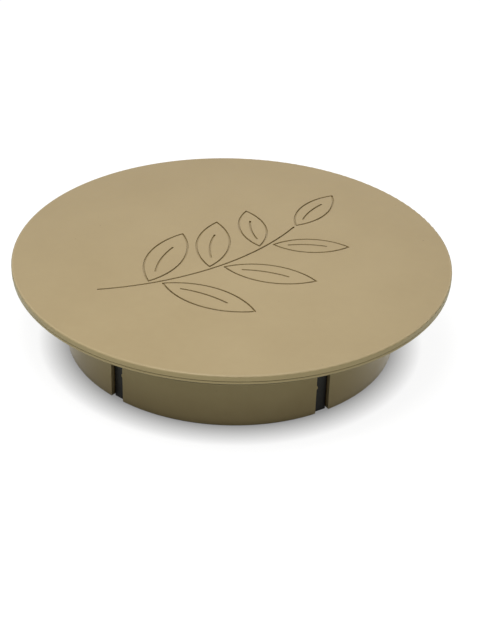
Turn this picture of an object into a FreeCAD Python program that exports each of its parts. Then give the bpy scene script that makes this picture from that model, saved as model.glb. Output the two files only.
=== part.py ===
import FreeCAD, Part
import math
import os

# Desk cable grommet for an 80 mm hole, in millimetres.
#
# A slotted sleeve drops into the hole until its thin flange rests on the desk. A dark liner
# wedges the sleeve's five spring fingers outwards and carries a rotary cable shutter on a deck.
# A plain disc cover, held by a friction ring, plugs into the liner and hides everything.
#
# Frame: +Z up, z = 0 on the desk surface, the hole's axis on Z. One finger is centred on -Y.

V = FreeCAD.Vector
ORIGIN = V(0, 0, 0)
X_AXIS = V(1, 0, 0)
Z_AXIS = V(0, 0, 1)

# Driving dimensions
HOLE_D = 80.0
COVER_D = 104.0
OVERALL_H = 21.9
COVER_T = 1.4
FLANGE_T = 0.8
GASKET_T = 0.5
WALL = 1.25
FINGERS = 5
FINGER_STEP = 360.0 / FINGERS
FRONT_ANGLE = -90.0
SLOT_W = 3.5

# Clearances, how far cutters run past the faces they cut, and the limit for equal sizes
SEAT_GAP = 0.05
HOLE_GAP = 0.4
TURN_GAP = 0.05
PLUG_GAP = 0.3
SHUTTER_GAP = 0.4
STOP_GAP = 0.1
CUT = 1.0
TINY = 1e-4

# Heights of the main faces
FLANGE_Z0 = GASKET_T
FLANGE_Z1 = FLANGE_Z0 + FLANGE_T
COVER_Z0 = FLANGE_Z1 + SEAT_GAP
COVER_Z1 = COVER_Z0 + COVER_T
BOTTOM_Z = COVER_Z1 - OVERALL_H
DECK_Z1 = -7.0
DECK_T = 1.8
DECK_Z0 = DECK_Z1 - DECK_T

# Radii of the main walls
COVER_R = COVER_D / 2
SKIRT_R = HOLE_D / 2 - HOLE_GAP
BORE_R = SKIRT_R - WALL
LINER_R = BORE_R - SEAT_GAP
LINER_WALL = 1.3
WELL_R = LINER_R - LINER_WALL

# Sleeve and the foam ring under its flange
FLANGE_SET_IN = 0.1
FLANGE_R = COVER_R - FLANGE_SET_IN
GASKET_BORE_GAP = 1.0
GASKET_SET_IN = 0.8
ROOT_FILLET = 0.5
PARTING_BEVEL = 0.1
FLANGE_EDGE_R = 0.3
LEAD_IN = 0.45
COLLAR_H = 0.85
SLOT_TOP_Z = -1.4
SLOT_TOP_R = 0.8
FINGER_CORNER_R = 0.8
NIB_Z = -11.7
NIB_R = 0.6
NIB_PROUD = 0.3
NIB_DEPTH = 0.6

# Liner
KEY_W = 3.3
KEY_PROUD = 0.2
KEY_TOP_Z = -2.0
LINER_END_GAP = 0.05
OPENING_R0 = 12.0
OPENING_R1 = 33.5
OPENING_HALF_ANGLE = 42.0
OPENING_CORNER = 3.0
BOSS_R = 5.0
BOSS_Z0 = -17.0
RIB_T = 1.2
RIB_DEPTH = 5.0
RIB_ANGLES = (-30.0, 0.0, 30.0)
HOOP_R = 22.0
STOP_WIDTH = 2.0
STOP_DEPTH = 1.4
STOP_HEIGHT = 1.9
STOP_ANGLE = 90.0

# Rubber edging of the cable openings
TRIM_T = 1.3
TRIM_LIP = 1.2
TRIM_LIP_T = 1.2
TRIM_EDGE_R = 0.4

# Shutter and the hardware it turns on
SHUTTER_T = 1.6
SHUTTER_Z0 = DECK_Z1 + TURN_GAP
SHUTTER_Z1 = SHUTTER_Z0 + SHUTTER_T
SHUTTER_R = WELL_R - SHUTTER_GAP
SHUTTER_TRAVEL = 90.0
HUB_R = 10.0
HUB_POCKET_R = 7.4
HUB_Z1 = -1.6
CAP_SEAT_R = 8.6
CAP_SEAT_Z = -2.9
GRIP_W = 3.4
GRIP_R1 = 30.0
GRIP_Z1 = -0.9
GRIP_EDGE_R = 0.8
BUSH_R = 4.0
BUSH_H = 2.4
BUSH_Z1 = DECK_Z1 + BUSH_H
BUSH_BEVEL = 0.2
SCREW_HOLE_R = 1.6
WASHER_R = 6.8
WASHER_T = 0.6
WASHER_EDGE_R = 0.15
WAVE_R0 = 4.3
WAVE_R1 = 6.6
WAVE_T = 0.3
WAVE_GAP = 0.02
WAVES = 3
POINTS_PER_WAVE = 12
CAP_Z1 = -1.2
CAP_T = 1.0
CAP_HOLLOW_R = 7.2
CAP_EDGE_R = 0.5

# Pivot screw, seated on the flat washer
SEAT_Z = BUSH_Z1 + WASHER_T
SCREW_R = 1.45
CORE_R = 1.2
SCREW_LENGTH = 10.7
POINT_LENGTH = 1.2
PITCH = 1.1
CREST_HALF = 0.33
PLAIN_LENGTH = 3.6
HEAD_R = 2.8
HEAD_H = 1.6
HEAD_EDGE_R = 0.7
RECESS_W = 0.75
RECESS_LENGTH = 3.6
RECESS_DEPTH = 0.9
RECESS_ANGLE = 20.0
PILOT_DEPTH = 8.6

# Cover
EDGE_R = 0.35
PLUG_WALL = 2.3
PLUG_R1 = WELL_R - PLUG_GAP
PLUG_R0 = PLUG_R1 - PLUG_WALL
PLUG_Z0 = -2.8
O_RING_R = 0.8
O_RING_Z = -1.2
O_RING_MIDDLE_R = WELL_R - TURN_GAP - O_RING_R
O_RING_SEAT = 0.02
COVER_RIB_DEPTH = 1.5
COVER_RIBS = 6
COVER_HUB_R = 9.2

# Engraved leaf spray. Each pair of leaves is (share of the stem's length, leaf length).
GROOVE_W = 0.48
GROOVE_DEPTH = 0.4
STEM_ROOT = V(-29.0, -20.0, 0)
STEM_TIP = V(14.0, 15.0, 0)
STEM_BOW = -6.0
LEAF_PAIRS = ((0.21, 24.0), (0.49, 22.0), (0.77, 18.0))
LEAF_STAGGER = 0.05
TIP_LEAF = 19.0
LEAF_SPREAD = 52.0
LEAF_FULLNESS = 0.18
LEAF_GAP = 1.0
VEIN_START = 0.2
VEIN_END = 0.7
VEIN_BOW = 0.03


def revolved(points):
    """Solid of revolution about Z of a closed outline given as (radius, z) points."""
    corners = [V(r, 0, z) for r, z in points]
    outline = Part.makePolygon(corners + corners[:1])
    return Part.Face(outline).revolve(ORIGIN, Z_AXIS, 360)


def tube(r_out, r_in, z0, z1):
    """Ring of rectangular section."""
    return revolved([(r_in, z0), (r_out, z0), (r_out, z1), (r_in, z1)])


def rod(radius, z0, z1):
    """Upright cylinder on the Z axis."""
    return Part.makeCylinder(radius, z1 - z0, V(0, 0, z0))


def turned(shape, degrees):
    """Copy of a shape turned about the Z axis."""
    copy = shape.copy()
    copy.rotate(ORIGIN, Z_AXIS, degrees)
    return copy


def bar(r0, r1, width, z0, z1, degrees):
    """Straight radial bar from radius r0 to r1, pointing along the given direction."""
    block = Part.makeBox(r1 - r0, width, z1 - z0, V(r0, -width / 2, z0))
    return turned(block, degrees)


def rim_edges(shape, radius, z):
    """Circular edges of a shape that lie on one radius and height about Z."""
    found = []
    for edge in shape.Edges:
        on_circle = isinstance(edge.Curve, Part.Circle) and abs(edge.Curve.Radius - radius) < TINY
        if on_circle and abs(edge.Curve.Center.z - z) < TINY:
            found.append(edge)
    return found


def edges_along(shape, direction):
    """Straight edges of a shape that run along a direction."""
    found = []
    for edge in shape.Edges:
        straight = isinstance(edge.Curve, Part.Line)
        if straight and edge.tangentAt(edge.FirstParameter).cross(direction).Length < TINY:
            found.append(edge)
    return found


def polar(radius, degrees, z=0.0):
    """Point at a radius and direction about the Z axis."""
    angle = math.radians(degrees)
    return V(radius * math.cos(angle), radius * math.sin(angle), z)


def slot_angles():
    """Directions of the slots: the two nearest the front lie half a finger to either side of it."""
    return [FRONT_ANGLE + FINGER_STEP * (i + 0.5) for i in range(FINGERS)]


def slot_cutter():
    """Cutter for one slot on +X, with a round-cornered top and flared lower corners."""
    x0 = BORE_R - CUT
    depth = WALL + 2 * CUT
    z0 = BOTTOM_Z - CUT
    slot = Part.makeBox(depth, SLOT_W, SLOT_TOP_Z - z0, V(x0, -SLOT_W / 2, z0))
    top = [edge for edge in edges_along(slot, X_AXIS) if edge.CenterOfMass.z > SLOT_TOP_Z - TINY]
    slot = slot.makeFillet(SLOT_TOP_R, top)
    flare_half = SLOT_W / 2 + FINGER_CORNER_R
    flare = Part.makeBox(depth, 2 * flare_half, FINGER_CORNER_R + CUT, V(x0, -flare_half, z0))
    for side in (-flare_half, flare_half):
        centre = V(x0, side, BOTTOM_Z + FINGER_CORNER_R)
        flare = flare.cut(Part.makeCylinder(FINGER_CORNER_R, depth, centre, X_AXIS))
    return slot.fuse(flare)


def nib(side):
    """Small round nib on one edge of a slot on +X, in the outer part of the wall."""
    centre = V(SKIRT_R - NIB_DEPTH, side * (SLOT_W / 2 + NIB_R - NIB_PROUD), NIB_Z)
    return Part.makeCylinder(NIB_R, NIB_DEPTH + CUT, centre, X_AXIS)


def sleeve():
    """Flange and skirt in one moulding. Slots split the skirt into fingers. The front one has nibs."""
    collar_r = BORE_R + COLLAR_H
    body = revolved([
        (BORE_R, BOTTOM_Z),
        (SKIRT_R - LEAD_IN, BOTTOM_Z),
        (SKIRT_R, BOTTOM_Z + LEAD_IN),
        (SKIRT_R, FLANGE_Z0),
        (FLANGE_R, FLANGE_Z0),
        (FLANGE_R, FLANGE_Z1 - PARTING_BEVEL),
        (FLANGE_R - PARTING_BEVEL, FLANGE_Z1),
        (collar_r, FLANGE_Z1),
        (BORE_R, FLANGE_Z1 - COLLAR_H),
    ])
    body = body.makeFillet(ROOT_FILLET, rim_edges(body, SKIRT_R, FLANGE_Z0))
    body = body.makeFillet(FLANGE_EDGE_R, rim_edges(body, FLANGE_R, FLANGE_Z0))
    cutter = slot_cutter()
    for angle in slot_angles():
        body = body.cut(turned(cutter, angle))
    wall = tube(SKIRT_R, BORE_R, BOTTOM_Z, SLOT_TOP_Z)
    for side in (-1, 1):
        at_slot = turned(nib(side), FRONT_ANGLE - side * FINGER_STEP / 2)
        body = body.fuse(at_slot.common(wall))
    return body.removeSplitter()


def flange_gasket():
    """Thin foam ring under the flange, set in from its edge."""
    return tube(FLANGE_R - GASKET_SET_IN, SKIRT_R + GASKET_BORE_GAP, 0, GASKET_T)


def opening_block(z0, z1, grow=0.0):
    """Block in a cable opening on +X: a sector of a ring with round corners, grown by an offset."""
    half = OPENING_HALF_ANGLE
    outer = Part.Arc(polar(OPENING_R1, -half), polar(OPENING_R1, 0), polar(OPENING_R1, half))
    inner = Part.Arc(polar(OPENING_R0, half), polar(OPENING_R0, 0), polar(OPENING_R0, -half))
    side_a = Part.LineSegment(polar(OPENING_R1, half), polar(OPENING_R0, half))
    side_b = Part.LineSegment(polar(OPENING_R0, -half), polar(OPENING_R1, -half))
    sector = Part.Wire([side.toShape() for side in (outer, side_a, inner, side_b)])
    block = Part.Face(sector).extrude(Z_AXIS)
    block = block.makeFillet(OPENING_CORNER, edges_along(block, Z_AXIS))
    base = min(block.Faces, key=lambda face: face.CenterOfMass.z)
    outline = base.OuterWire
    if grow:
        outline = outline.makeOffset2D(grow)
    outline.translate(V(0, 0, z0))
    return Part.Face(outline).extrude(V(0, 0, z1 - z0))


def inner_liner():
    """Dark liner: expander wall, keys in the slots, and the deck with its two cable openings."""
    z0 = BOTTOM_Z + LINER_END_GAP
    rim_z = FLANGE_Z1 - SEAT_GAP
    cone_z = rim_z - COLLAR_H + SEAT_GAP
    cone_r = LINER_R + rim_z - cone_z
    body = revolved([
        (WELL_R, z0),
        (LINER_R - LEAD_IN, z0),
        (LINER_R, z0 + LEAD_IN),
        (LINER_R, cone_z),
        (cone_r, rim_z),
        (WELL_R + LEAD_IN, rim_z),
        (WELL_R, rim_z - LEAD_IN),
    ])
    mid_wall_r = WELL_R + LINER_WALL / 2
    for angle in slot_angles():
        key = bar(mid_wall_r, LINER_R + KEY_PROUD, KEY_W, z0, KEY_TOP_Z, angle)
        body = body.fuse(key)
    deck = rod(mid_wall_r, DECK_Z0, DECK_Z1)
    for angle in (0, 180):
        deck = deck.cut(turned(opening_block(DECK_Z0 - CUT, DECK_Z1 + CUT), angle))
    deck = deck.fuse(rod(BOSS_R, BOSS_Z0, DECK_Z0))
    rib_z0 = DECK_Z0 - RIB_DEPTH
    sweep = 2 * max(RIB_ANGLES)
    hoop = Part.makeCylinder(HOOP_R + RIB_T / 2, RIB_DEPTH, V(0, 0, rib_z0), Z_AXIS, sweep)
    hoop = hoop.cut(rod(HOOP_R - RIB_T / 2, rib_z0, DECK_Z0))
    for middle in (-90, 90):
        deck = deck.fuse(turned(hoop, middle - sweep / 2))
        for offset in RIB_ANGLES:
            rib = bar(BOSS_R - RIB_T, mid_wall_r, RIB_T, rib_z0, DECK_Z0, middle + offset)
            deck = deck.fuse(rib)
    body = body.fuse(deck)
    stop = bar(WELL_R - STOP_DEPTH, mid_wall_r, STOP_WIDTH, DECK_Z1, DECK_Z1 + STOP_HEIGHT, STOP_ANGLE)
    body = body.fuse(stop)
    pilot = rod(SCREW_R + TURN_GAP, DECK_Z1 - PILOT_DEPTH, DECK_Z1)
    return body.cut(pilot).removeSplitter()


def edge_trim():
    """Rubber edging that lines the opening on +X and hooks under the deck."""
    lip_z1 = DECK_Z0 - SEAT_GAP
    lip_z0 = lip_z1 - TRIM_LIP_T
    body = opening_block(lip_z0, DECK_Z1 - SEAT_GAP, -SEAT_GAP)
    body = body.fuse(opening_block(lip_z0, lip_z1, TRIM_LIP))
    body = body.cut(opening_block(lip_z0 - CUT, DECK_Z1 + CUT, -TRIM_T)).removeSplitter()
    low_edges = [edge for edge in body.Edges if edge.BoundBox.ZMax < lip_z0 + TINY]
    return body.makeFillet(TRIM_EDGE_R, low_edges)


def grip():
    """Finger grip on +X: an upright fin with a round end and a rounded top."""
    x0 = CAP_SEAT_R
    z0 = SHUTTER_Z0
    fin = Part.makeBox(GRIP_R1 - x0, GRIP_W, GRIP_Z1 - z0, V(x0, -GRIP_W / 2, z0))
    end = [edge for edge in edges_along(fin, Z_AXIS) if edge.CenterOfMass.x > x0 + TINY]
    fin = fin.makeFillet(GRIP_W / 2 - SEAT_GAP, end)
    crown = [edge for edge in fin.Edges if edge.BoundBox.ZMin > GRIP_Z1 - TINY]
    crown = [edge for edge in crown if edge.BoundBox.XMax > HUB_R]
    return fin.makeFillet(GRIP_EDGE_R, crown)


def stop_notch():
    """Part of the shutter's edge that is cut back so that the liner's stop limits the turn."""
    inner_r = WELL_R - STOP_DEPTH - STOP_GAP
    allowance = math.degrees((STOP_WIDTH / 2 + STOP_GAP) / inner_r)
    sweep = SHUTTER_TRAVEL + 2 * allowance
    notch = Part.makeCylinder(SHUTTER_R + CUT, SHUTTER_T + 2 * CUT, V(0, 0, SHUTTER_Z0 - CUT), Z_AXIS, sweep)
    notch = notch.cut(rod(inner_r, SHUTTER_Z0 - CUT, SHUTTER_Z1 + CUT))
    return turned(notch, STOP_ANGLE - SHUTTER_TRAVEL - allowance)


def shutter():
    """Two-bladed rotary shutter, drawn open, with its blades and grips on the Y axis."""
    plate = rod(SHUTTER_R, SHUTTER_Z0, SHUTTER_Z1)
    for angle in (0, 180):
        plate = plate.cut(turned(opening_block(SHUTTER_Z0 - CUT, SHUTTER_Z1 + CUT), angle))
    plate = plate.cut(stop_notch())
    plate = plate.fuse(rod(HUB_R, SHUTTER_Z0, HUB_Z1))
    for angle in (90, -90):
        plate = plate.fuse(turned(grip(), angle))
    plate = plate.cut(rod(HUB_POCKET_R, SHUTTER_Z1, GRIP_Z1))
    plate = plate.cut(rod(CAP_SEAT_R, CAP_SEAT_Z, GRIP_Z1))
    plate = plate.cut(rod(BUSH_R + TURN_GAP, SHUTTER_Z0 - CUT, SHUTTER_Z1 + CUT))
    return plate.removeSplitter()


def pivot_bush():
    """Spacer that the shutter turns on. The screw clamps it to the deck."""
    body = tube(BUSH_R, SCREW_HOLE_R, DECK_Z1, BUSH_Z1)
    return body.makeChamfer(BUSH_BEVEL, rim_edges(body, BUSH_R, BUSH_Z1))


def wave_washer():
    """Spring washer with three waves, pressing the shutter on the deck."""
    middle = (SHUTTER_Z1 + BUSH_Z1) / 2
    amplitude = (BUSH_Z1 - SHUTTER_Z1 - WAVE_T) / 2 - WAVE_GAP
    steps = POINTS_PER_WAVE * WAVES

    def rail(radius, offset):
        points = []
        for i in range(steps):
            degrees = 360.0 * i / steps
            height = middle + offset + amplitude * math.cos(math.radians(WAVES * degrees))
            points.append(polar(radius, degrees, height))
        curve = Part.BSplineCurve()
        curve.interpolate(points, PeriodicFlag=True)
        return curve.toShape()

    low_in = rail(WAVE_R0, -WAVE_T / 2)
    low_out = rail(WAVE_R1, -WAVE_T / 2)
    high_out = rail(WAVE_R1, WAVE_T / 2)
    high_in = rail(WAVE_R0, WAVE_T / 2)
    loop = (low_in, low_out, high_out, high_in, low_in)
    faces = [Part.makeRuledSurface(a, b) for a, b in zip(loop, loop[1:])]
    shell = Part.makeShell(faces)
    shell.sewShape()
    solid = Part.makeSolid(Part.Shell(shell.Faces))
    if solid.Volume < 0:
        solid.reverse()
    return solid


def flat_washer():
    """Flat washer that keeps the shutter down."""
    body = tube(WASHER_R, SCREW_HOLE_R, BUSH_Z1, SEAT_Z)
    return body.makeFillet(WASHER_EDGE_R, rim_edges(body, WASHER_R, SEAT_Z))


def pivot_screw():
    """Pan head screw with a cross recess. Its thread is drawn as rings."""
    tip = SEAT_Z - SCREW_LENGTH
    thread_z0 = tip + POINT_LENGTH
    thread_z1 = SEAT_Z - PLAIN_LENGTH
    turns = int((thread_z1 - thread_z0) / PITCH)
    outline = [(0, tip), (CORE_R, thread_z0)]
    for i in range(turns):
        crest = thread_z1 - (turns - i - 0.5) * PITCH
        outline.append((CORE_R, crest - CREST_HALF))
        outline.append((SCREW_R, crest))
        outline.append((CORE_R, crest + CREST_HALF))
    outline += [(CORE_R, thread_z1), (SCREW_R, thread_z1), (SCREW_R, SEAT_Z), (HEAD_R, SEAT_Z)]
    top = SEAT_Z + HEAD_H
    outline += [(HEAD_R, top), (0, top)]
    body = revolved(outline)
    body = body.makeFillet(HEAD_EDGE_R, rim_edges(body, HEAD_R, top))
    corner = V(-RECESS_LENGTH / 2, -RECESS_W / 2, top - RECESS_DEPTH)
    recess = Part.makeBox(RECESS_LENGTH, RECESS_W, RECESS_DEPTH + CUT, corner)
    for angle in (RECESS_ANGLE, RECESS_ANGLE + 90):
        body = body.cut(turned(recess, angle))
    return body


def hub_cap():
    """Cap that hides the screw, seated in the shutter's hub."""
    radius = CAP_SEAT_R - TURN_GAP
    body = rod(radius, CAP_SEAT_Z, CAP_Z1)
    body = body.makeFillet(CAP_EDGE_R, rim_edges(body, radius, CAP_Z1))
    return body.cut(rod(CAP_HOLLOW_R, CAP_SEAT_Z - CUT, CAP_Z1 - CAP_T))


def cover_o_ring():
    """Friction ring in the plug's groove."""
    return Part.makeTorus(O_RING_MIDDLE_R, O_RING_R, V(0, 0, O_RING_Z))


def bowed_arc(start, end, bow):
    """Arc from start to end whose middle stands off the chord by bow, to the left when positive."""
    chord = end - start
    left = V(-chord.y, chord.x, 0).normalize()
    return Part.Arc(start, (start + end) * 0.5 + left * bow, end)


def stroke(start, end, bow):
    """Groove cutter along a bowed arc, with round ends."""
    path = Part.Wire([bowed_arc(start, end, bow).toShape()])
    face = Part.Face(path.makeOffset2D(GROOVE_W / 2))
    face.translate(V(0, 0, COVER_Z1 - GROOVE_DEPTH))
    return face.extrude(V(0, 0, GROOVE_DEPTH + CUT))


def leaf(base, degrees, length):
    """Three strokes: a leaf's two edges and its vein."""
    along = polar(length, degrees)
    tip = base + along
    edge_bow = LEAF_FULLNESS * length
    return [
        stroke(base, tip, edge_bow),
        stroke(tip, base, edge_bow),
        stroke(base + along * VEIN_START, base + along * VEIN_END, VEIN_BOW * length),
    ]


def leaf_spray():
    """Cutters of the engraved decoration: a bowed stem with leaves in pairs and one at its tip."""
    stem = bowed_arc(STEM_ROOT, STEM_TIP, STEM_BOW)
    cutters = [stroke(STEM_ROOT, STEM_TIP, STEM_BOW)]

    def place(share):
        """Point and heading on the stem at a share of its length."""
        at = stem.FirstParameter + (stem.LastParameter - stem.FirstParameter) * share
        way = stem.tangent(at)[0]
        return stem.value(at), math.degrees(math.atan2(way.y, way.x))

    for share, length in LEAF_PAIRS:
        for sign, stagger in ((1, 0), (-1, LEAF_STAGGER)):
            base, heading = place(share + stagger)
            foot = base + polar(LEAF_GAP, heading + sign * 90)
            cutters += leaf(foot, heading + sign * LEAF_SPREAD, length)
    base, heading = place(1)
    cutters += leaf(base + polar(LEAF_GAP, heading), heading, TIP_LEAF)
    return cutters


def cover_disc():
    """Disc cover with its plug ring and stiffening ribs below, and the engraving on top."""
    body = revolved([
        (0, COVER_Z0),
        (PLUG_R0, COVER_Z0),
        (PLUG_R0, PLUG_Z0),
        (PLUG_R1 - LEAD_IN, PLUG_Z0),
        (PLUG_R1, PLUG_Z0 + LEAD_IN),
        (PLUG_R1, COVER_Z0),
        (COVER_R - PARTING_BEVEL, COVER_Z0),
        (COVER_R, COVER_Z0 + PARTING_BEVEL),
        (COVER_R, COVER_Z1),
        (0, COVER_Z1),
    ])
    body = body.makeFillet(EDGE_R, rim_edges(body, COVER_R, COVER_Z1))
    rib_z0 = COVER_Z0 - COVER_RIB_DEPTH
    body = body.fuse(tube(COVER_HUB_R, COVER_HUB_R - RIB_T, rib_z0, COVER_Z0))
    for i in range(COVER_RIBS):
        angle = 360.0 * i / COVER_RIBS
        rib = bar(COVER_HUB_R - RIB_T / 2, PLUG_R0 + RIB_T / 2, RIB_T, rib_z0, COVER_Z0, angle)
        body = body.fuse(rib)
    groove = Part.makeTorus(O_RING_MIDDLE_R, O_RING_R + O_RING_SEAT, V(0, 0, O_RING_Z))
    body = body.cut(groove).removeSplitter()
    for cutter in leaf_spray():
        body = body.cut(cutter)
    return body


def export(name, shape):
    """Write one node's STEP file."""
    shape.exportStep("parts/" + name + ".step")


def main():
    os.makedirs("parts", exist_ok=True)
    trim = edge_trim()
    export("sleeve", sleeve())
    export("flange_gasket", flange_gasket())
    export("inner_liner", inner_liner())
    export("edge_trim_right", trim)
    export("edge_trim_left", turned(trim, 180))
    export("shutter", shutter())
    export("pivot_bush", pivot_bush())
    export("wave_washer", wave_washer())
    export("flat_washer", flat_washer())
    export("pivot_screw", pivot_screw())
    export("hub_cap", hub_cap())
    export("cover_o_ring", cover_o_ring())
    export("cover_disc", cover_disc())


main()
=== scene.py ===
import math

import bmesh
import bpy
from mathutils import Matrix, Vector


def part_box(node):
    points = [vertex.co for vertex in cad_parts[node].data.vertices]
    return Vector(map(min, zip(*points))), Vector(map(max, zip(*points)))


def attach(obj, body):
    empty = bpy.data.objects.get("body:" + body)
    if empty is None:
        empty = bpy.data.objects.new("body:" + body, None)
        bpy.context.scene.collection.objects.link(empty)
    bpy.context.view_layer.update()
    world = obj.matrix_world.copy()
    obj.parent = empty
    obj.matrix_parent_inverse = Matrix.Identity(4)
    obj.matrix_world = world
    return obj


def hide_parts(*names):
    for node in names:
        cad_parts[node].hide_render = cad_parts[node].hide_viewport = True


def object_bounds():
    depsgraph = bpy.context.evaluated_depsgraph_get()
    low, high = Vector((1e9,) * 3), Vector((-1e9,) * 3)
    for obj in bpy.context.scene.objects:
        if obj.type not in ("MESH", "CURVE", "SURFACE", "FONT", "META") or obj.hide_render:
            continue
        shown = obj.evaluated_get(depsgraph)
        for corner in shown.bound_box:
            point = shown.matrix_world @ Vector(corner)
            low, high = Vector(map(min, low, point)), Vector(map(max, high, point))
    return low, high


# Looks of the desk cable grommet. Metres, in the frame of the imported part: +Z up, z = 0 on the
# desk surface, front on -Y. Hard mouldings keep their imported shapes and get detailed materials.
# The foam ring, the rubber edgings and the friction ring are built here as soft pieces.

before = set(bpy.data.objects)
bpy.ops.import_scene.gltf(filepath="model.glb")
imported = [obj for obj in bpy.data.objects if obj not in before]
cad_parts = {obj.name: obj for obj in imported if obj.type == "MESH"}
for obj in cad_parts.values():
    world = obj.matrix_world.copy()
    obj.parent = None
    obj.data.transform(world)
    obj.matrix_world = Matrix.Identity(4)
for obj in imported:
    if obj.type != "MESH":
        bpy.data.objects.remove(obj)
CAD_LOW, CAD_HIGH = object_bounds()

MM = 0.001
TINY = 0.001 * MM
HARD_EDGE = math.radians(35)

# Places on the object. The cover's top is flat out to FLAT_R, then rounded by RIM_R.
TOP_Z = CAD_HIGH.z
FLOOR_Z = CAD_LOW.z
COVER_R = CAD_HIGH.x
COVER_POINTS = [point.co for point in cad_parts["cover_disc"].data.vertices]
FLAT_R = max(math.hypot(at.x, at.y) for at in COVER_POINTS if at.z > TOP_Z - TINY)
RIM_R = COVER_R - FLAT_R
ENGRAVED_ABOVE_Z = TOP_Z - 0.5 * MM

# Soft pieces: how far the foam stands out, bulges and wavers, the ring's moulding ridge, and how
# finely and how often the edgings' corners are melted round
FOAM_STANDS_OUT = 0.08 * MM
FOAM_BULGE = 0.10 * MM
FOAM_WAVER = 0.01 * MM
RING_FLASH = 0.04 * MM
EDGING_VOXEL = 0.2 * MM
EDGING_PASSES = 4

# The camera, with angles in degrees. The aim and the roll turn it off the cover's centre.
CAMERA_AZIMUTH = 3.8
CAMERA_ELEVATION = 29.4
CAMERA_DISTANCE = 6.858 * COVER_R
CAMERA_AIM_RIGHT = -0.36096
CAMERA_AIM_DOWN = -2.52674
CAMERA_ROLL = 1.43
CAMERA_LENS = 84.4
CAMERA_SENSOR = 36

# The floor: its radius, and its own glow to the camera, dimmed close to the object as a painted contact
# shadow and full further out, and its glow in mirrored rays, which paints a sheen on the object
FLOOR_SIZE = 4.0
FLOOR_GLOW_IN_PAINTED_SHADOW = 0.25
FLOOR_GLOW = 0.88
FLOOR_SHEEN = 0.90

# The backdrop: how brightly it is seen, and how strongly it lights from the front and from behind
BACKDROP_SEEN = 1.0
BACKDROP_FRONT = 0.41
BACKDROP_BACK = 0.48

# Colours of the lights
KEY_WHITE = (1.0, 0.987, 0.985)
WARM_WHITE = (1.0, 0.985, 0.968)

# Colours, linear
TAN = (0.445, 0.345, 0.178, 1)
TAN_PALE = (0.510, 0.410, 0.230, 1)
TAN_DEEP = (0.420, 0.322, 0.162, 1)
TAN_SHADE = (0.120, 0.088, 0.036, 1)
GROOVE_SHADE = (0.095, 0.056, 0.008, 1)
SPECK = (0.200, 0.145, 0.080, 1)
BLACK = (0.0125, 0.0105, 0.0102, 1)
BLACK_WORN = (0.050, 0.049, 0.051, 1)
DUST = (0.110, 0.105, 0.095, 1)
RUBBER = (0.0120, 0.0120, 0.0125, 1)
RUBBER_BLOOM = (0.040, 0.040, 0.041, 1)
FOAM = (0.040, 0.036, 0.031, 1)
FOAM_PALE = (0.085, 0.078, 0.068, 1)
ACETAL = (0.700, 0.680, 0.620, 1)
ACETAL_DEEP = (0.560, 0.535, 0.470, 1)
STEEL = (0.420, 0.415, 0.400, 1)
STEEL_DARK = (0.210, 0.205, 0.200, 1)
ZINC = (0.520, 0.530, 0.540, 1)
ZINC_WARM = (0.420, 0.400, 0.340, 1)
WHITE = (1, 1, 1, 1)
BACKDROP_BLUE = (1.00, 1.08, 1.55, 1)
FLOOR_SEEN = (0.26, 0.26, 0.26, 1)
# The floor's colour for diffuse rays: dark close to the object as a painted shadow of the lip, pale further
# out
FLOOR_NEAR = (0.048, 0.056, 0.044, 1)
FLOOR_FAR = (0.82, 0.885, 0.79, 1)


# Shader building blocks

def add(tree, kind, inputs=None, **settings):
    """Adds a shader node. Each input is a value, or a socket to link from."""
    made = tree.nodes.new(kind)
    for key, value in settings.items():
        setattr(made, key, value)
    for key, value in (inputs or {}).items():
        if isinstance(value, bpy.types.NodeSocket):
            tree.links.new(value, made.inputs[key])
        else:
            made.inputs[key].default_value = value
    return made


def noise(tree, scale, detail=2.0, stretch=(1, 1, 1), turn=0.0):
    """Noise in the piece's own coordinates. Its features are about 1/scale metres across."""
    place = add(tree, "ShaderNodeTexCoord").outputs["Object"]
    mapped = add(tree, "ShaderNodeMapping", {"Vector": place, "Rotation": (0, 0, turn), "Scale": stretch})
    inputs = {"Vector": mapped.outputs["Vector"], "Scale": scale, "Detail": detail}
    return add(tree, "ShaderNodeTexNoise", inputs).outputs["Fac"]


def span(tree, value, low, high, to_low=0.0, to_high=1.0):
    """Value mapped from low..high to to_low..to_high, clamped."""
    inputs = {"Value": value, "From Min": low, "From Max": high, "To Min": to_low, "To Max": to_high}
    return add(tree, "ShaderNodeMapRange", inputs).outputs["Result"]


def blend(tree, share, first, second):
    """Colour between first and second."""
    mixer = add(tree, "ShaderNodeMix", data_type="RGBA")
    sockets = {"Factor_Float": share, "A_Color": first, "B_Color": second}
    for socket in mixer.inputs:
        value = sockets.get(socket.identifier)
        if value is None:
            continue
        if isinstance(value, bpy.types.NodeSocket):
            tree.links.new(value, socket)
        else:
            socket.default_value = value
    return next(socket for socket in mixer.outputs if socket.identifier == "Result_Color")


def math_node(tree, operation, first, second):
    return add(tree, "ShaderNodeMath", {0: first, 1: second}, operation=operation).outputs["Value"]


def times(tree, first, second):
    return math_node(tree, "MULTIPLY", first, second)


def vector_node(tree, operation, first, second=(0, 0, 0)):
    return add(tree, "ShaderNodeVectorMath", {0: first, 1: second}, operation=operation).outputs["Vector"]


def soft_edges(tree, radius):
    """Normal rounded over edges, and a mask that is 1 on the edges."""
    rounded = add(tree, "ShaderNodeBevel", {"Radius": radius}, samples=6).outputs["Normal"]
    facing = add(tree, "ShaderNodeNewGeometry").outputs["Normal"]
    dot = add(tree, "ShaderNodeVectorMath", {0: rounded, 1: facing}, operation="DOT_PRODUCT").outputs["Value"]
    return rounded, span(tree, dot, 0.995, 0.85)


def crevice(tree, reach, open_above=0.75, shut_below=0.25):
    """Mask that is 1 deep in grooves and joints narrower than reach."""
    cover = add(tree, "ShaderNodeAmbientOcclusion", {"Distance": reach}, samples=8)
    return span(tree, cover.outputs["AO"], open_above, shut_below)


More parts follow.
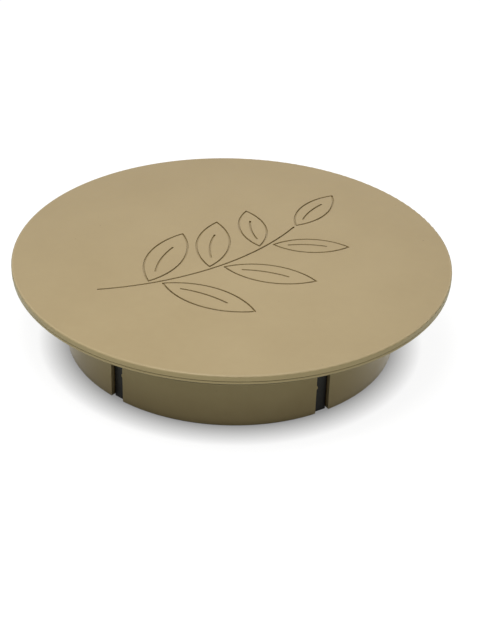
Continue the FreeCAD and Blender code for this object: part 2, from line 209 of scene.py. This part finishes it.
def below(tree, level):
    """1 under a height, 0 over it."""
    place = add(tree, "ShaderNodeTexCoord").outputs["Object"]
    height = add(tree, "ShaderNodeSeparateXYZ", {"Vector": place}).outputs["Z"]
    return math_node(tree, "LESS_THAN", height, level)


def steep(tree, on_level, on_upright):
    """One value on level faces and another on upright ones."""
    normal = add(tree, "ShaderNodeNewGeometry").outputs["Normal"]
    upward = add(tree, "ShaderNodeSeparateXYZ", {"Vector": normal}).outputs["Z"]
    return span(tree, math_node(tree, "ABSOLUTE", upward, 0), 0.3, 0.7, on_upright, on_level)


def rounded_rim(tree, normal):
    """Exact normal on the cover's rounded rim, whose mesh is coarse, and a mask of a band along its top,
    where a highlight is painted.
    """
    place = add(tree, "ShaderNodeTexCoord").outputs["Object"]
    height = add(tree, "ShaderNodeSeparateXYZ", {"Vector": place}).outputs["Z"]
    level = vector_node(tree, "MULTIPLY", place, (1, 1, 0))
    radius = add(tree, "ShaderNodeVectorMath", {0: level}, operation="LENGTH").outputs["Value"]
    outward = vector_node(tree, "NORMALIZE", level)
    flat_edge = vector_node(tree, "MULTIPLY", outward, (FLAT_R, FLAT_R, 0))
    core = vector_node(tree, "ADD", flat_edge, (0, 0, TOP_Z - RIM_R))
    away = vector_node(tree, "NORMALIZE", vector_node(tree, "SUBTRACT", place, core))
    beyond = math_node(tree, "GREATER_THAN", radius, FLAT_R)
    above = math_node(tree, "GREATER_THAN", height, TOP_Z - RIM_R)
    on_rim = times(tree, beyond, above)
    # Band along the top of the rim, for the painted highlight
    outer = span(tree, radius, COVER_R - 0.6 * MM, COVER_R - 0.3 * MM)
    upper = span(tree, height, TOP_Z - 0.35 * MM, TOP_Z - 0.15 * MM)
    return blend(tree, on_rim, normal, away), times(tree, outer, upper)


def bumped(tree, height, depth, normal):
    """Normal with a height map on it, height 0..1 over depth metres."""
    inputs = {"Height": height, "Distance": depth, "Strength": 1.0, "Normal": normal}
    return add(tree, "ShaderNodeBump", inputs).outputs["Normal"]


def material(name, build):
    """Material whose Principled shader gets the inputs that build returns."""
    made = bpy.data.materials.new(name)
    made.use_nodes = True
    tree = made.node_tree
    tree.nodes.clear()
    shader = add(tree, "ShaderNodeBsdfPrincipled", build(tree))
    output = add(tree, "ShaderNodeOutputMaterial")
    tree.links.new(shader.outputs["BSDF"], output.inputs["Surface"])
    return made


# Materials

def tan_plastic(tree):
    """Satin moulded plastic: fine grain, faint mottling, specks, hairlines, rubbed edges made paler as a
    painted highlight, a painted highlight along the cover's rim, and painted shade in recesses and grooves.
    """
    grain = noise(tree, 2600, 2)
    mottle = noise(tree, 420, 3)
    cloud = noise(tree, 45, 3)
    specks = span(tree, noise(tree, 800, 1), 0.80, 0.83)
    hairlines = span(tree, noise(tree, 1, 3, stretch=(70, 2400, 70), turn=0.6), 0.66, 0.74)
    normal, edges = soft_edges(tree, 0.14 * MM)
    normal, rim = rounded_rim(tree, normal)
    colour = blend(tree, span(tree, cloud, 0.30, 0.70), TAN_DEEP, TAN)
    colour = blend(tree, span(tree, mottle, 0.40, 0.75, 0.0, 0.12), colour, TAN_PALE)
    colour = blend(tree, times(tree, hairlines, 0.06), colour, TAN_PALE)
    colour = blend(tree, times(tree, specks, 0.5), colour, SPECK)
    # Rubbed edges: wear, made paler still as a painted highlight along the edges
    colour = blend(tree, times(tree, edges, 0.60), colour, TAN_PALE)
    # Painted highlight: a pale band along the top of the cover's rounded rim
    colour = blend(tree, times(tree, rim, 0.65), colour, TAN_PALE)
    # Painted shade: colour darkened towards TAN_SHADE in recesses below the engraved top, such as the slot
    # walls and under the lip
    painted_shade = crevice(tree, 3.0 * MM, 0.85, 0.35)
    painted_shade = times(tree, painted_shade, below(tree, ENGRAVED_ABOVE_Z))
    colour = blend(tree, times(tree, painted_shade, 0.75), colour, TAN_SHADE)
    # Painted shade in the grooves: colour darkened towards GROOVE_SHADE and specular reflection taken away,
    # weaker on level groove floors, where light reaches in
    groove = crevice(tree, 0.4 * MM, 0.90, 0.50)
    groove = times(tree, groove, steep(tree, 0.25, 1.0))
    colour = blend(tree, groove, colour, GROOVE_SHADE)
    roughness = span(tree, mottle, 0.3, 0.7, 0.36, 0.45)
    roughness = math_node(tree, "ADD", roughness, times(tree, hairlines, 0.08))
    height = math_node(tree, "SUBTRACT", grain, times(tree, hairlines, 0.25))
    return {
        "Base Color": colour,
        "Roughness": roughness,
        "Specular IOR Level": span(tree, groove, 0.0, 1.0, 0.36, 0.0),
        "Normal": bumped(tree, height, 0.006 * MM, normal),
    }


def black_plastic(tree):
    """Black moulded plastic: fine grain, drag lines, paler rubbed edges, a little dust on top, and painted
    shade as weaker reflection in recesses.
    """
    grain = noise(tree, 3200, 2)
    mottle = noise(tree, 300, 3)
    drag = span(tree, noise(tree, 1, 2, stretch=(1100, 1100, 40)), 0.45, 0.65)
    dust = span(tree, noise(tree, 700, 4), 0.56, 0.80, 0.0, 0.25)
    normal, edges = soft_edges(tree, 0.15 * MM)
    facing = add(tree, "ShaderNodeNewGeometry").outputs["Normal"]
    up = add(tree, "ShaderNodeSeparateXYZ", {"Vector": facing}).outputs["Z"]
    settled = times(tree, dust, span(tree, up, 0.3, 1.0))
    colour = blend(tree, times(tree, drag, 0.12), BLACK, BLACK_WORN)
    colour = blend(tree, times(tree, edges, 0.7), colour, BLACK_WORN)
    colour = blend(tree, settled, colour, DUST)
    roughness = span(tree, mottle, 0.3, 0.7, 0.36, 0.50)
    # Painted shade: weaker specular reflection in recesses within 4 mm
    shaded_recess = crevice(tree, 4.0 * MM, 0.80, 0.30)
    return {
        "Base Color": colour,
        "Roughness": math_node(tree, "ADD", roughness, times(tree, settled, 0.8)),
        "Specular IOR Level": span(tree, shaded_recess, 0.0, 1.0, 0.45, 0.15),
        "Normal": bumped(tree, grain, 0.010 * MM, normal),
    }


def gloss_black(tree):
    """Smooth black cap: faint hairlines and rubbed edges."""
    hairlines = span(tree, noise(tree, 1, 3, stretch=(90, 2600, 90), turn=1.1), 0.60, 0.72)
    mottle = noise(tree, 500, 3)
    normal, edges = soft_edges(tree, 0.15 * MM)
    colour = blend(tree, times(tree, edges, 0.6), BLACK, BLACK_WORN)
    roughness = math_node(tree, "ADD", span(tree, mottle, 0.3, 0.7, 0.18, 0.28),
                          times(tree, hairlines, 0.15))
    return {
        "Base Color": colour,
        "Roughness": roughness,
        "Normal": bumped(tree, hairlines, 0.002 * MM, normal),
    }


def rubber(tree):
    """Matt rubber with a pale bloom in patches and a fine open grain."""
    grain = noise(tree, 3800, 3)
    bloom = span(tree, noise(tree, 260, 4), 0.45, 0.75, 0.0, 0.6)
    normal, edges = soft_edges(tree, 0.2 * MM)
    colour = blend(tree, bloom, RUBBER, RUBBER_BLOOM)
    colour = blend(tree, times(tree, edges, 0.4), colour, RUBBER_BLOOM)
    return {
        "Base Color": colour,
        "Roughness": span(tree, grain, 0.3, 0.7, 0.66, 0.84),
        "Specular IOR Level": 0.35,
        "Normal": bumped(tree, grain, 0.014 * MM, normal),
    }


def foam(tree):
    """Closed-cell foam: small round cells, pale where the light catches their walls."""
    place = add(tree, "ShaderNodeTexCoord").outputs["Object"]
    cells = add(tree, "ShaderNodeTexVoronoi", {"Vector": place, "Scale": 3600}).outputs["Distance"]
    patches = noise(tree, 500, 3)
    colour = blend(tree, span(tree, cells, 0.15, 0.65), FOAM, FOAM_PALE)
    colour = blend(tree, span(tree, patches, 0.45, 0.75, 0.0, 0.5), colour, FOAM)
    normal = add(tree, "ShaderNodeNewGeometry").outputs["Normal"]
    return {
        "Base Color": colour,
        "Roughness": span(tree, patches, 0.3, 0.7, 0.88, 0.98),
        "Specular IOR Level": 0.2,
        "Normal": bumped(tree, cells, 0.05 * MM, normal),
    }


def acetal(tree):
    """Off-white turned acetal: fine rings and a waxy shine."""
    rings = noise(tree, 1, 2, stretch=(200, 200, 9000))
    cloud = noise(tree, 300, 2)
    normal, _ = soft_edges(tree, 0.1 * MM)
    return {
        "Base Color": blend(tree, span(tree, cloud, 0.35, 0.65), ACETAL_DEEP, ACETAL),
        "Roughness": span(tree, rings, 0.3, 0.7, 0.26, 0.40),
        "Subsurface Weight": 0.15,
        "Subsurface Radius": (1.0 * MM, 0.9 * MM, 0.7 * MM),
        "Normal": bumped(tree, rings, 0.006 * MM, normal),
    }


def spring_steel(tree):
    """Rolled spring steel with rolling lines and darker patches."""
    lines = noise(tree, 1, 3, stretch=(150, 6000, 150))
    patches = noise(tree, 700, 3)
    normal, _ = soft_edges(tree, 0.06 * MM)
    return {
        "Base Color": blend(tree, span(tree, patches, 0.35, 0.7), STEEL, STEEL_DARK),
        "Metallic": 1.0,
        "Roughness": span(tree, lines, 0.3, 0.7, 0.26, 0.44),
        "Normal": bumped(tree, lines, 0.004 * MM, normal),
    }


def zinc(tree):
    """Zinc plating: mottled, slightly warm in patches, dull in the recesses."""
    patches = noise(tree, 900, 4)
    grain = noise(tree, 4200, 3)
    normal, edges = soft_edges(tree, 0.08 * MM)
    colour = blend(tree, span(tree, patches, 0.42, 0.68), ZINC, ZINC_WARM)
    colour = blend(tree, times(tree, crevice(tree, 0.6 * MM), 0.7), colour, STEEL_DARK)
    colour = blend(tree, times(tree, edges, 0.5), colour, ZINC)
    return {
        "Base Color": colour,
        "Metallic": 1.0,
        "Roughness": span(tree, patches, 0.3, 0.7, 0.24, 0.42),
        "Normal": bumped(tree, grain, 0.004 * MM, normal),
    }


# Soft pieces

def smooth_piece(name, mesh, surface, body, node):
    """Object from a mesh, riding on a body in place of one CAD node."""
    for polygon in mesh.polygons:
        polygon.use_smooth = True
    mesh.materials.clear()
    mesh.materials.append(surface)
    piece = bpy.data.objects.new(name, mesh)
    bpy.context.scene.collection.objects.link(piece)
    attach(piece, body)
    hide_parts(node)
    return piece


def ring_mesh(name, section, segments, waver=0.0):
    """Closed ring about Z from a section of (radius, z) points, which waver a little as it goes round."""
    shape = bmesh.new()
    loops = []
    for i in range(segments):
        angle = 2 * math.pi * i / segments
        loop = []
        for k, (radius, z) in enumerate(section):
            drift = waver * (math.sin(7 * angle + k) + 0.6 * math.sin(19 * angle + 2.3 * k))
            at = radius + drift
            loop.append(shape.verts.new((at * math.cos(angle), at * math.sin(angle), z)))
        loops.append(loop)
    count = len(section)
    for i in range(segments):
        here = loops[i]
        there = loops[(i + 1) % segments]
        for k in range(count):
            nxt = (k + 1) % count
            shape.faces.new((here[k], there[k], there[nxt], here[nxt]))
    bmesh.ops.recalc_face_normals(shape, faces=shape.faces)
    mesh = bpy.data.meshes.new(name)
    shape.to_mesh(mesh)
    shape.free()
    return mesh


def foam_section(low, high, inner_r, outer_r, bulge):
    """Section of a squeezed foam ring: flat above and below, with bulging sides."""
    middle = (low + high) / 2
    half = (high - low) / 2
    steps = 8
    points = []
    for side, radius in ((1, outer_r), (-1, inner_r)):
        for i in range(steps + 1):
            angle = math.pi * (i / steps - 0.5)
            swell = side * bulge * (math.cos(angle) - 1)
            points.append((radius + swell, middle + side * half * math.sin(angle)))
        rise = high if side == 1 else low
        other = inner_r if side == 1 else outer_r
        for share in (0.25, 0.5, 0.75):
            points.append((radius + (other - radius) * share, rise))
    return points


def o_ring_section(centre_r, centre_z, half_width, half_height, flash):
    """Slightly flattened round section with the small moulding ridge along its outer and inner line."""
    steps = 32
    points = []
    for i in range(steps):
        angle = 2 * math.pi * i / steps
        ridge = flash if i % (steps // 2) == 0 else 0.0
        points.append((
            centre_r + (half_width - flash + ridge) * math.cos(angle),
            centre_z + half_height * math.sin(angle),
        ))
    return points


def softened(name, node, voxel, passes):
    """Copy of a CAD node's mesh with its corners melted round, for rubber."""
    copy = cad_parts[node].data.copy()
    holder = bpy.data.objects.new(name + "_melt", copy)
    bpy.context.scene.collection.objects.link(holder)
    remesh = holder.modifiers.new("remesh", "REMESH")
    remesh.mode = "VOXEL"
    remesh.voxel_size = voxel
    melt = holder.modifiers.new("melt", "CORRECTIVE_SMOOTH")
    melt.smooth_type = "SIMPLE"
    melt.use_only_smooth = True
    melt.iterations = passes
    graph = bpy.context.evaluated_depsgraph_get()
    mesh = bpy.data.meshes.new_from_object(holder.evaluated_get(graph))
    mesh.name = name
    bpy.data.objects.remove(holder)
    bpy.data.meshes.remove(copy)
    return mesh


def make_foam_ring(surface):
    """Foam ring squeezed between the flange and the desk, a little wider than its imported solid."""
    low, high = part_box("flange_gasket")
    points = [point.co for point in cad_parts["flange_gasket"].data.vertices]
    bore_r = min(math.hypot(at.x, at.y) for at in points)
    section = foam_section(low.z, high.z, bore_r, high.x + FOAM_STANDS_OUT, FOAM_BULGE)
    mesh = ring_mesh("foam_ring", section, segments=360, waver=FOAM_WAVER)
    smooth_piece("foam_ring", mesh, surface, "sleeve", "flange_gasket")


def make_friction_ring(surface):
    """Rubber ring in the groove of the cover's plug."""
    low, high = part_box("cover_o_ring")
    half_height = (high.z - low.z) / 2
    section = o_ring_section(high.x - half_height, (low.z + high.z) / 2, half_height, half_height, RING_FLASH)
    mesh = ring_mesh("friction_ring", section, segments=288)
    smooth_piece("friction_ring", mesh, surface, "cover", "cover_o_ring")


def make_edging(side, surface):
    """Rubber edging of one cable opening."""
    name = "edging_" + side
    node = "edge_trim_" + side
    mesh = softened(name, node, EDGING_VOXEL, EDGING_PASSES)
    smooth_piece(name, mesh, surface, "sleeve", node)


RUBBER_LOOK = material("rubber", rubber)
FOAM_LOOK = material("foam", foam)
make_foam_ring(FOAM_LOOK)
make_friction_ring(RUBBER_LOOK)
make_edging("right", RUBBER_LOOK)
make_edging("left", RUBBER_LOOK)


def shade_evenly(piece):
    """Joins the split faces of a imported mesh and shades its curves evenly, with its hard edges kept."""
    weld = piece.modifiers.new("weld", "WELD")
    weld.merge_threshold = TINY
    split = piece.modifiers.new("split", "EDGE_SPLIT")
    split.split_angle = HARD_EDGE
    even = piece.modifiers.new("even", "WEIGHTED_NORMAL")
    even.mode = "FACE_AREA_WITH_ANGLE"
    even.keep_sharp = True


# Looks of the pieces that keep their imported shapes
LOOKS = {
    "cover_disc": material("cover_plastic_look", tan_plastic),
    "sleeve": material("sleeve_plastic_look", tan_plastic),
    "inner_liner": material("liner_plastic_look", black_plastic),
    "shutter": material("shutter_plastic_look", black_plastic),
    "hub_cap": material("cap_plastic_look", gloss_black),
    "pivot_bush": material("acetal_look", acetal),
    "wave_washer": material("spring_steel_look", spring_steel),
    "flat_washer": material("zinc_look", zinc),
    "pivot_screw": material("zinc_screw_look", zinc),
}
for node, look in LOOKS.items():
    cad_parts[node].material_slots[0].material = look
    shade_evenly(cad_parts[node])


# Stage: pale floor, soft light, camera

def pale_floor(tree):
    """White to the camera, with its glow dimmed close to the object as a painted contact shadow.
    Diffuse rays find it dark close to the object, a painted shadow where the lip shades it. Mirrored rays
    find it glowing behind the object's front, which paints a sheen on the object's sides."""
    path = add(tree, "ShaderNodeLightPath").outputs
    place = add(tree, "ShaderNodeTexCoord").outputs["Object"]
    distance = add(tree, "ShaderNodeVectorMath", {0: place}, operation="LENGTH").outputs["Value"]
    # Painted shadow of the lip for diffuse rays: the floor's colour goes to FLOOR_NEAR close to the object
    shaded = span(tree, distance, COVER_R, 1.35 * COVER_R, 1.0, 0.0)
    shaded = times(tree, shaded, path["Is Diffuse Ray"])
    bounce = blend(tree, shaded, FLOOR_FAR, FLOOR_NEAR)
    # Painted contact shadow: the glow to the camera is dimmed close to the object
    glow = span(tree, distance, 0.75 * COVER_R, 0.90 * COVER_R, FLOOR_GLOW_IN_PAINTED_SHADOW, FLOOR_GLOW)
    glow = times(tree, path["Is Camera Ray"], glow)
    depth = add(tree, "ShaderNodeSeparateXYZ", {"Vector": place}).outputs["Y"]
    # Painted sheen: the floor glows in mirrored rays behind the object's front, but not far out
    sheen = span(tree, depth, -0.7 * COVER_R, -0.2 * COVER_R, 0.0, FLOOR_SHEEN)
    sheen = times(tree, sheen, span(tree, distance, 1.2 * COVER_R, 1.4 * COVER_R, 1.0, 0.0))
    sheen = times(tree, path["Is Glossy Ray"], sheen)
    return {
        "Base Color": blend(tree, path["Is Camera Ray"], bounce, FLOOR_SEEN),
        "Roughness": 0.9,
        "Specular IOR Level": 0.1,
        "Emission Color": WHITE,
        "Emission Strength": math_node(tree, "ADD", glow, sheen),
    }


def make_floor(size):
    shape = bmesh.new()
    bmesh.ops.create_circle(shape, cap_ends=True, radius=size, segments=96)
    mesh = bpy.data.meshes.new("floor")
    shape.to_mesh(mesh)
    shape.free()
    mesh.materials.append(material("floor", pale_floor))
    floor = bpy.data.objects.new("floor", mesh)
    floor.location.z = FLOOR_Z
    bpy.context.scene.collection.objects.link(floor)


def make_world(seen, front, back):
    """White backdrop to the camera. As a light it is dimmer, and it is mirrored a little blue at the back."""
    world = bpy.data.worlds.new("world")
    bpy.context.scene.world = world
    world.use_nodes = True
    tree = world.node_tree
    tree.nodes.clear()
    way = add(tree, "ShaderNodeTexCoord").outputs["Generated"]
    depth = add(tree, "ShaderNodeSeparateXYZ", {"Vector": way}).outputs["Y"]
    path = add(tree, "ShaderNodeLightPath").outputs
    strength = span(tree, path["Is Camera Ray"], 0.0, 1.0, span(tree, depth, -0.3, 0.9, front, back), seen)
    mirrored = times(tree, path["Is Glossy Ray"], span(tree, depth, 0.60, 0.95))
    colour = blend(tree, mirrored, WHITE, BACKDROP_BLUE)
    backdrop = add(tree, "ShaderNodeBackground", {"Color": colour, "Strength": strength})
    output = add(tree, "ShaderNodeOutputWorld")
    tree.links.new(backdrop.outputs["Background"], output.inputs["Surface"])


def soft_box(name, place, width, length, power, colour):
    """Area light at a place, aimed at the object. Its length runs along Y."""
    light = bpy.data.lights.new(name, "AREA")
    light.shape = "RECTANGLE"
    light.size = width
    light.size_y = length
    light.energy = power
    light.color = colour
    holder = bpy.data.objects.new(name, light)
    holder.location = place
    holder.rotation_euler = (-Vector(place)).to_track_quat("-Z", "Y").to_euler()
    holder.visible_camera = False
    bpy.context.scene.collection.objects.link(holder)


def make_camera():
    """Camera in front, a little to the right, looking down at the cover."""
    azimuth = math.radians(CAMERA_AZIMUTH)
    elevation = math.radians(CAMERA_ELEVATION)
    back = Vector((
        math.sin(azimuth) * math.cos(elevation),
        -math.cos(azimuth) * math.cos(elevation),
        math.sin(elevation),
    ))
    data = bpy.data.cameras.new("camera")
    data.sensor_width = CAMERA_SENSOR
    data.lens = CAMERA_LENS
    data.clip_start = 0.01
    camera = bpy.data.objects.new("camera", data)
    place = Matrix.Translation(Vector((0, 0, TOP_Z)) + back * CAMERA_DISTANCE)
    look = (-back).to_track_quat("-Z", "Y").to_matrix().to_4x4()
    aim_right = Matrix.Rotation(math.radians(CAMERA_AIM_RIGHT), 4, "Y")
    aim_down = Matrix.Rotation(math.radians(CAMERA_AIM_DOWN), 4, "X")
    roll = Matrix.Rotation(math.radians(CAMERA_ROLL), 4, "Z")
    camera.matrix_world = place @ look @ aim_right @ aim_down @ roll
    bpy.context.scene.collection.objects.link(camera)
    bpy.context.scene.camera = camera


make_floor(FLOOR_SIZE)
make_world(BACKDROP_SEEN, BACKDROP_FRONT, BACKDROP_BACK)

# A long light low over the cover, which reaches into the grooves along Y, and one high in front
soft_box("key", place=(-0.004, -0.010, 0.13), width=0.07, length=0.24, power=0.088, colour=KEY_WHITE)
soft_box("front", place=(-0.045, -0.13, 0.45), width=0.16, length=0.16, power=0.62, colour=WARM_WHITE)
make_camera()
bpy.context.scene.view_settings.view_transform = "Standard"
